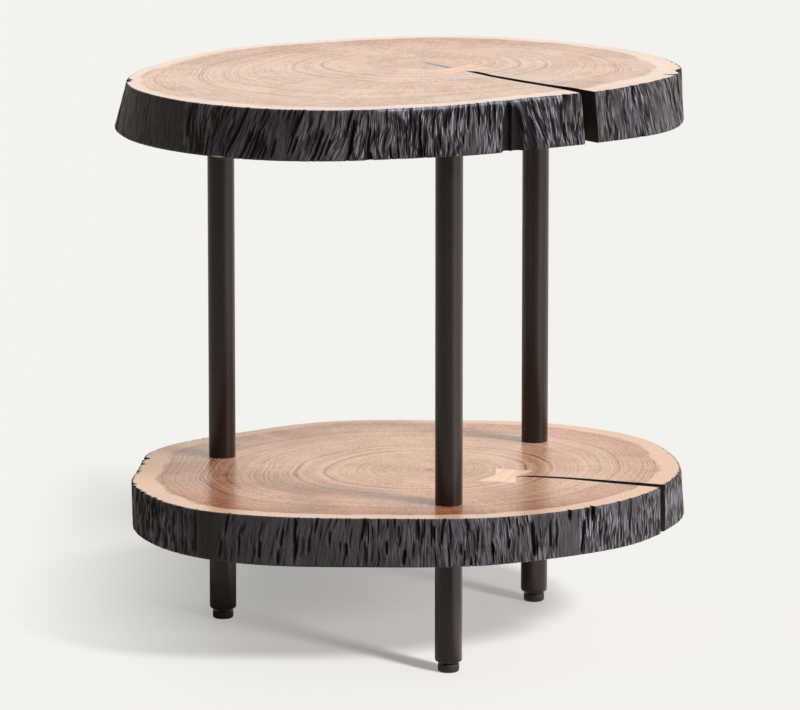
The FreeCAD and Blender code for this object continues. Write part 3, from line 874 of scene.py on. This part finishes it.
# Painted highlight: a cool grey along the rubbed-down upper arris, in patches.
rim_sheen = times(tree, rim, ranged(tree, patches, 0.4, 0.6))
stain = mixed(tree, times(tree, rim_sheen, 0.5), stain, PAINTED_RIM_HIGHLIGHT)
bare = times(tree, attribute(tree, "bare"), ranged(tree, patches, 0.4, 0.5))
relief = bump(tree, math_node(tree, "SUBTRACT", 1.0, parting), RELIEF_HEIGHT)
tree.links.new(mixed(tree, bare, stain, BARE_WOOD), shader.inputs["Base Color"])
tree.links.new(ranged(tree, depth, 0.8 * MM, 3.6 * MM, 0.45, 0.8), shader.inputs["Roughness"])
tree.links.new(math_node(tree, "MAXIMUM", crest, rim_sheen), shader.inputs["Coat Weight"])
tree.links.new(relief, shader.inputs["Normal"])
tree.links.new(relief, shader.inputs["Coat Normal"])

# Walls of the cracks: wood that split along its upright fibres as it dried and was left as it broke.
# It has the same stain as the edge, brown where it has run thin.
WALL_FIBRES = (400.0, 400.0, 30.0)
WALL_TOOTH = 0.3 * MM
WALL_BLACK = (0.007, 0.005, 0.0045, 1)
WALL_BROWN = (0.034, 0.019, 0.0135, 1)

crack_wall, tree, shader, place = new_material("Stained crack wall", **{"Roughness": 0.75})
upright = node(tree, "ShaderNodeMapping", {"Vector": place, "Scale": WALL_FIBRES}).outputs[0]
fibres = noise(tree, upright, 1.0, 3.0, 0.6)
wall_stain = mixed(tree, ranged(tree, fibres, 0.45, 0.75), WALL_BLACK, WALL_BROWN)
tree.links.new(wall_stain, shader.inputs["Base Color"])
tree.links.new(bump(tree, fibres, WALL_TOOTH), shader.inputs["Normal"])

# Shelf: the lower slice, redder, with the pith right of the middle and a narrow crack to the right.
# It is held between the lower and the upper tubes, with the studs of the legs through it.
SHELF_SEED = 11
SHELF_HABIT = {
    "crack": (-18.2, 4.2),
    "walls": (
        (0, 0, 0), (12, 5.0, 0.5), (20, 7.4, 0.9), (32, 8.9, 1.2), (46, 10.2, 2.2), (60, 10.7, 2.8),
        (76, 10.6, 1.6), (92, 9.8, -1.4), (110, 8.6, -2.6), (130, 7.8, -4.8), (148, 6.0, -6.8),
        (200, 3.0, -11.0),
    ),
    "waver": 0.4,
    "pith": (25 * MM, -16 * MM),
    "sapwood": (
        (0, 20), (30, 18), (60, 14), (90, 10), (120, 12), (150, 18), (170, 22), (185, 22), (205, 20),
        (230, 20), (260, 20), (290, 18), (320, 18), (345, 20),
    ),
    "bare": (),
    "rubbed": (),
    "coarse": (
        (0, 0.7), (90, 0.9), (180, 1), (215, 0.9), (228, 0.3), (262, 0.4), (285, 0.6), (300, 0.6),
        (318, 0.3), (340, 0.3),
    ),
    "split": (
        (0, 1), (90, 0.9), (196, 1.3), (215, 1.2), (228, 0.15), (262, 0.22), (285, 0.6), (305, 1.1),
        (340, 1.3),
    ),
    "clean": ((20, 138),),
    "leans": ((0, 0), (60, 0.1), (150, -0.1), (200, 0), (240, 0.05), (300, -0.08), (330, 0)),
    "smooth": ((227.4, 232.5), (304.5, 309.5)),
    "ropes": 1.7,
    "strands": 1.1,
    "grooves": (
        (142, 4, 6, -20, 60, 0), (171, 6, 6, -20, 60, 0), (177, 4, 3, -10, 40, 0),
        (185, 4, 3.5, -10, 34, 0), (198, 1.8, 3, -6, 44, 0), (203.5, 1.6, 3, -6, 40, 0),
        (206.5, 1.8, 3.4, -6, 44, 0.05), (209, 1.5, 3, 2, 44, 0), (212, 1.7, 3.4, -6, 38, 0),
        (214.5, 1.6, 3, -4, 44, 0.1), (217.5, 1.8, 3.6, 8, 44, 0), (220, 1.3, 2.6, -6, 34, 0),
        (223, 1.6, 3, -4, 40, -0.05), (226.2, 1.6, 3.4, -4, 42, 0), (233.4, 1.7, 4.2, -4, 18, 0),
        (232.6, 1.7, 3.6, 24, 40, 0.1), (240.7, 2, 3.9, 22, 38, 0), (244.8, 2.1, 3.9, 10, 26, 0.05),
        (244.3, 2.1, 4.2, 30, 42, -0.1), (247.7, 2.2, 4.7, 0, 40, -0.1), (250.5, 1.7, 3.4, 16, 32, 0.05),
        (251.4, 1.4, 3.1, -4, 14, 0), (254.7, 1.7, 3.4, 12, 24, 0), (258.1, 2.1, 3.9, 22, 34, 0),
        (261, 2, 3.6, -2, 20, 0.08), (266.8, 1.8, 3.6, 20, 32, 0), (270.9, 2.2, 4.2, 28, 42, 0.1),
        (276.7, 1.5, 3.1, 6, 18, 0), (289.3, 1.8, 3.9, 22, 36, 0), (292.9, 1.7, 3.4, 20, 30, 0),
        (298.6, 2.2, 4.4, 6, 40, -0.1), (302.7, 1.6, 3.2, 8, 34, -0.12), (307.3, 2.2, 4, -10, 10, 0),
        (311.1, 1.7, 4.2, 10, 42, 0.05), (313.4, 2.6, 5.5, -10, 14, 0), (315.3, 1.1, 2.6, 2, 26, 0),
        (320.9, 1.3, 3, -4, 16, 0), (324.8, 1.4, 3.4, -4, 28, 0),
    ),
}
SHELF_CHECKS = (
    ((-176, 104), (-146, 97), 7.0, (0.02, 0.012, 0.01, 1)),
    ((-144, 161), (-86, 102), 4.0, (0.6, 0.42, 0.3, 1)),
    ((23, -12), (31, -20), 8.0, (0.13, 0.06, 0.04, 1)),
    ((142, -184), (132, -170), 1.4, (0.16, 0.05, 0.03, 1)),
)
# The face darkens towards the front left as painted shade. Its broad deeper band inside the sapwood is partly
# heartwood colour and partly painted shade.
shelf_face = lacquered_face(
    "Lacquered shelf face", SHELF_CHECKS, Pith=(*SHELF_HABIT["pith"], 0.0), Dark_side=(-1.6, -4.2, 0.0),
    Border=0.42, Heart=(0.615, 0.35, 0.22, 1), Late_wood=(0.2, 0.075, 0.04, 1), Sap=(0.6, 0.37, 0.23, 1),
    Smoke=(0.16, 0.1, 0.08, 1), Deep=(0.3, 0.1, 0.035, 1),
)
shelf = log_slice("shelf_slab", "shelf_bowtie_key", SHELF_HABIT, SHELF_SEED)
dress(shelf, "table", "slice_wood", "shelf_slab", shelf_face, black_edge, crack_wall)

# Table top: the upper slice, paler, with the pith behind the middle and a wide crack to the front right.
# It stands on the upper tubes, whose studs go into inserts in its underside.
TOP_SEED = 7
TOP_HABIT = {
    "crack": (-52.6, 5.0),
    "walls": (
        (0, 0, 0), (12, 2.0, -1.2), (20, 4.6, -2.0), (32, 4.4, -3.3), (50, 2.8, -4.9), (72, 2.6, -6.5),
        (95, 3.2, -6.6), (120, 4.2, -5.0), (142, 7.6, -4.2), (160, 9.6, -4.4), (190, 9.3, -6.5),
        (240, 9.3, -9.5),
    ),
    "waver": 0.5,
    "pith": (20 * MM, 62 * MM),
    "sapwood": (
        (0, 21), (20, 20), (45, 15), (90, 14), (135, 13), (160, 13), (187, 10), (205, 13), (225, 17),
        (250, 20), (270, 21), (290, 17), (306, 19), (320, 23), (335, 28), (350, 24),
    ),
    "bare": ((231.7, 233.9),),
    "rubbed": ((265, 296), (299, 312)),
    "coarse": (
        (0, 0.7), (60, 0.9), (120, 0.7), (192, 0.3), (228, 0.4), (240, 0.5), (256, 0.6), (264, 0.65),
        (280, 0.75), (294, 1), (300, 0.65), (312, 0.65), (318, 1), (330, 1.3), (345, 1.3),
    ),
    "split": (
        (0, 1), (60, 1), (120, 0.8), (192, 0.4), (228, 0.5), (240, 0.3), (245, 0.28), (256, 0.7),
        (264, 1.6), (280, 1.5), (294, 1.3), (312, 1.4), (322, 1), (345, 0.95),
    ),
    "clean": ((20, 188),),
    "leans": (
        (0, 0), (100, 0.12), (190, 0), (228, 0.05), (236, 0.4), (255, 0.4), (262, 0.15), (270, 0), (294, 0),
        (300, -0.2), (307, -0.3), (314, 0), (340, 0.05),
    ),
    "smooth": ((192, 224.5), (296.4, 301.5)),
    "ropes": 2.6,
    "strands": 1.4,
    "grooves": (
        (2, 14, 4, -8, 9, 0), (192, 7, 5, -10, 12, 0), (194, 4, 5, -20, 70, 0), (225.6, 0.8, 1.6, 4, 30, 0),
        (226.8, 1, 2.6, 0, 46, 0.05), (228.3, 1.6, 2, 34, 44, 0), (236.8, 2.2, 3.6, -4, 44, 0.45),
        (239.6, 1.6, 3.4, 20, 40, 0.3), (241.5, 2, 3.9, 18, 46, 0.35), (243.7, 1.6, 3.4, 32, 48, 0.3),
        (245.2, 1.5, 3.1, 26, 44, 0.3), (247.8, 2.4, 3.8, -6, 26, 0.5), (249.3, 1.6, 3.1, 24, 40, 0.4),
        (253.4, 2.4, 4.4, 16, 40, 0.35), (255.5, 1.5, 3.1, 26, 42, 0.3), (258.1, 1.5, 3.4, -4, 20, 0.3),
        (259.3, 2.2, 4.9, 8, 48, 0.2), (262.7, 3.2, 4.5, 38, 52, 0), (266.6, 1.3, 2.4, -4, 14, 0),
        (273.8, 1.6, 3.2, 4, 46, 0), (277, 1.1, 2.2, -4, 30, 0.05), (285.6, 1.4, 3, -4, 22, 0),
        (288.5, 1.4, 2.8, -4, 20, 0), (297.2, 7, 10, 2, 90, 0.05), (299.4, 8, 7, 5, 90, 0),
        (303.6, 6, 4.2, 16, 70, -0.05), (306.4, 1.1, 2.8, -4, 44, -0.35), (312.8, 1.3, 3.2, 12, 30, -0.05),
        (313.4, 1.2, 3, 24, 40, 0), (355.8, 3.4, 11, -24, 24, 0),
    ),
}
TOP_CHECKS = (
    ((45, 27), (18, 66), 8.0, (0.03, 0.014, 0.01, 1)),
    ((93, 165), (128, 149), 4.5, (0.4, 0.27, 0.21, 1)),
    ((150, 136), (196, 110), 5.5, (0.42, 0.29, 0.23, 1)),
)
# The face darkens towards the back, a little to the left, as painted shade.
top_face = lacquered_face(
    "Lacquered top face", TOP_CHECKS, Pith=(*TOP_HABIT["pith"], 0.0), Dark_side=(-1.5, 5.0, 0.0), Border=0.12,
    Heart=(0.61, 0.4, 0.29, 1), Late_wood=(0.25, 0.115, 0.065, 1), Sap=(0.67, 0.5, 0.395, 1),
    Smoke=(0.22, 0.16, 0.14, 1), Deep=(0.36, 0.11, 0.02, 1),
)
top = log_slice("top_slab", "top_bowtie_key", TOP_HABIT, TOP_SEED)
dress(top, "table", "slice_wood", "top_slab", top_face, black_edge, crack_wall)

# Bow-tie keys: pale straight-grained wood, glued flush into the faces across the cracks. The grain runs
# along each key, which keeps its construction shape. Listed: the grain's bearing in degrees, and the
# colours of early and late wood.
KEY_GRAIN = (14.0, 330.0, 330.0)
KEY_TOOTH = 0.04 * MM
KEYS = {
    "top_bowtie_key": (42.0, (0.72, 0.435, 0.255, 1), (0.56, 0.31, 0.165, 1)),
    "shelf_bowtie_key": (73.0, (0.82, 0.54, 0.36, 1), (0.66, 0.4, 0.25, 1)),
}
for name, (angle, pale, dark) in KEYS.items():
    key_wood, tree, shader, place = new_material("Pale wood of " + name)
    rotation = (0, 0, -np.radians(angle))
    in_line = node(tree, "ShaderNodeMapping", {"Vector": place, "Rotation": rotation}).outputs[0]
    drawn_out = node(tree, "ShaderNodeMapping", {"Vector": in_line, "Scale": KEY_GRAIN}).outputs[0]
    grain = noise(tree, drawn_out, 1.0, 4.0, 0.6)
    tree.links.new(mixed(tree, ranged(tree, grain, 0.35, 0.7), pale, dark), shader.inputs["Base Color"])
    tree.links.new(ranged(tree, grain, 0.3, 0.7, 0.28, 0.4), shader.inputs["Roughness"])
    tree.links.new(bump(tree, grain, KEY_TOOTH), shader.inputs["Normal"])
    finish_node(name, key_wood)

# Studio: a plain pale floor that runs on behind, soft light from the front right, and a surround that is
# bright behind and to the right. The floor gives the table less light than it shows, more from the right,
# where a brighter patch gleams in the legs. Its shade fades out to the left.
FLOOR_SIZE = 30.0
FLOOR_TONE = (0.905, 0.897, 0.863, 1)
FLOOR_PAINT = {
    "Base Color": (0.177, 0.176, 0.172, 1), "Roughness": 0.9, "Specular IOR Level": 0.0,
    "Emission Color": FLOOR_TONE, "Emission Strength": 0.32,
}
TO_RIGHT = (0.4, 0.75)
BOUNCE_LEFT = (0.175, 0.169, 0.163, 1)
BOUNCE_RIGHT = (0.33, 0.322, 0.314, 1)
GLEAM_WAY = (0.755, -0.656, 0)
GLEAM_EDGE = (0.9, 0.996)
GLEAM_BOUNCE = (0.5, 0.485, 0.475, 1)
SHADE_EDGE = (-0.42, -0.1)
SURROUND_TONE = (1.0, 0.95, 0.89, 1)

corners = FLOOR_SIZE * np.array([[-1, -1, 0], [1, -1, 0], [1, 1, 0], [-1, 1, 0]])
floor = new_mesh("studio_floor", corners, np.array([[0, 1, 2, 3]]))
floor_paint, tree, shader, place = new_material("Pale floor", **FLOOR_PAINT)
away = vector_node(tree, "NORMALIZE", place)
to_right = ranged(tree, node(tree, "ShaderNodeSeparateXYZ", {0: away}).outputs[0], *TO_RIGHT)
bounce = mixed(tree, to_right, BOUNCE_LEFT, BOUNCE_RIGHT)
gleam = ranged(tree, vector_node(tree, "DOT_PRODUCT", away, GLEAM_WAY), *GLEAM_EDGE)
bounce = mixed(tree, gleam, bounce, GLEAM_BOUNCE)
dim = node(tree, "ShaderNodeBsdfDiffuse", {"Color": bounce}).outputs[0]
even = node(tree, "ShaderNodeEmission", {"Color": FLOOR_TONE}).outputs[0]
shaded = ranged(tree, node(tree, "ShaderNodeSeparateXYZ", {0: place}).outputs[0], *SHADE_EDGE)
shown = node(tree, "ShaderNodeMixShader", {0: shaded, 1: even, 2: shader.outputs[0]}).outputs[0]
seen = node(tree, "ShaderNodeLightPath").outputs["Is Camera Ray"]
floor_mix = node(tree, "ShaderNodeMixShader", {0: seen, 1: dim, 2: shown}).outputs[0]
tree.links.new(floor_mix, tree.nodes["Material Output"].inputs["Surface"])
floor.data.materials.append(floor_paint)

world = bpy.data.worlds.new("Studio surround")
bpy.context.scene.world = world
world.use_nodes = True
tree = world.node_tree
outward = node(tree, "ShaderNodeTexCoord").outputs["Generated"]
right, back, up = node(tree, "ShaderNodeSeparateXYZ", {0: outward}).outputs
behind = ranged(tree, back, 0.2, 0.95, 0.16, 1.0)
glow = math_node(tree, "ADD", behind, ranged(tree, right, *TO_RIGHT, 0.0, 1.1))
overhead = ranged(tree, up, 0.55, 1.0, 0.0, 0.4)
glow = math_node(tree, "MULTIPLY_ADD", glow, ranged(tree, right, -0.8, -0.35, 0.6, 1.0), overhead)
tree.links.new(glow, tree.nodes["Background"].inputs["Strength"])
tree.nodes["Background"].inputs["Color"].default_value = SURROUND_TONE

# The table is lit from the right, and the floor from further round to the front, once low and once higher.
# Listed: strength, spread in degrees, colour, bearing and height in degrees, and what is lit.
floor_only = bpy.data.collections.new("Lit for the floor")
floor_only.objects.link(floor)
not_floor = bpy.data.collections.new("Lit for the table")
not_floor.objects.link(floor)
not_floor.collection_objects[0].light_linking.link_state = "EXCLUDE"
LIGHTS = {
    "Table key": (4.5, 18, (0.85, 0.93, 1.06), -31, 38, not_floor),
    "Low floor light": (10.5, 12, (1.0, 1.0, 1.0), -48.5, 16, floor_only),
    "High floor light": (10.7, 9, (1.0, 1.0, 1.0), -48.5, 34, floor_only),
}
for name, (energy, spread, colour, bearing, elevation, receivers) in LIGHTS.items():
    light = bpy.data.lights.new(name, "SUN")
    light.energy = energy
    light.angle = np.radians(spread)
    light.color = colour
    lamp = bpy.data.objects.new(name, light)
    lamp.rotation_euler = (np.radians(90 - elevation), 0, np.radians(90 + bearing))
    lamp.light_linking.receiver_collection = receivers
    bpy.context.scene.collection.objects.link(lamp)

# Camera: a long lens at a low angle, solved from the three legs of the photograph.
PICTURE_WIDTH = 800
LENS_IN_PIXELS = 6366.9
SENSOR_WIDTH = 36.0
CAMERA_PLACE = (-1.72 * MM, -5.8, 1.3396)
CAMERA_DIP = 10.541

camera_data = bpy.data.cameras.new("Camera")
camera_data.sensor_fit = "HORIZONTAL"
camera_data.sensor_width = SENSOR_WIDTH
camera_data.lens = LENS_IN_PIXELS / PICTURE_WIDTH * SENSOR_WIDTH
camera = bpy.data.objects.new("Camera", camera_data)
camera.location = CAMERA_PLACE
camera.rotation_euler = (np.radians(90 - CAMERA_DIP), 0, 0)
bpy.context.scene.collection.objects.link(camera)
bpy.context.scene.camera = camera
bpy.context.scene.view_settings.view_transform = "Standard"
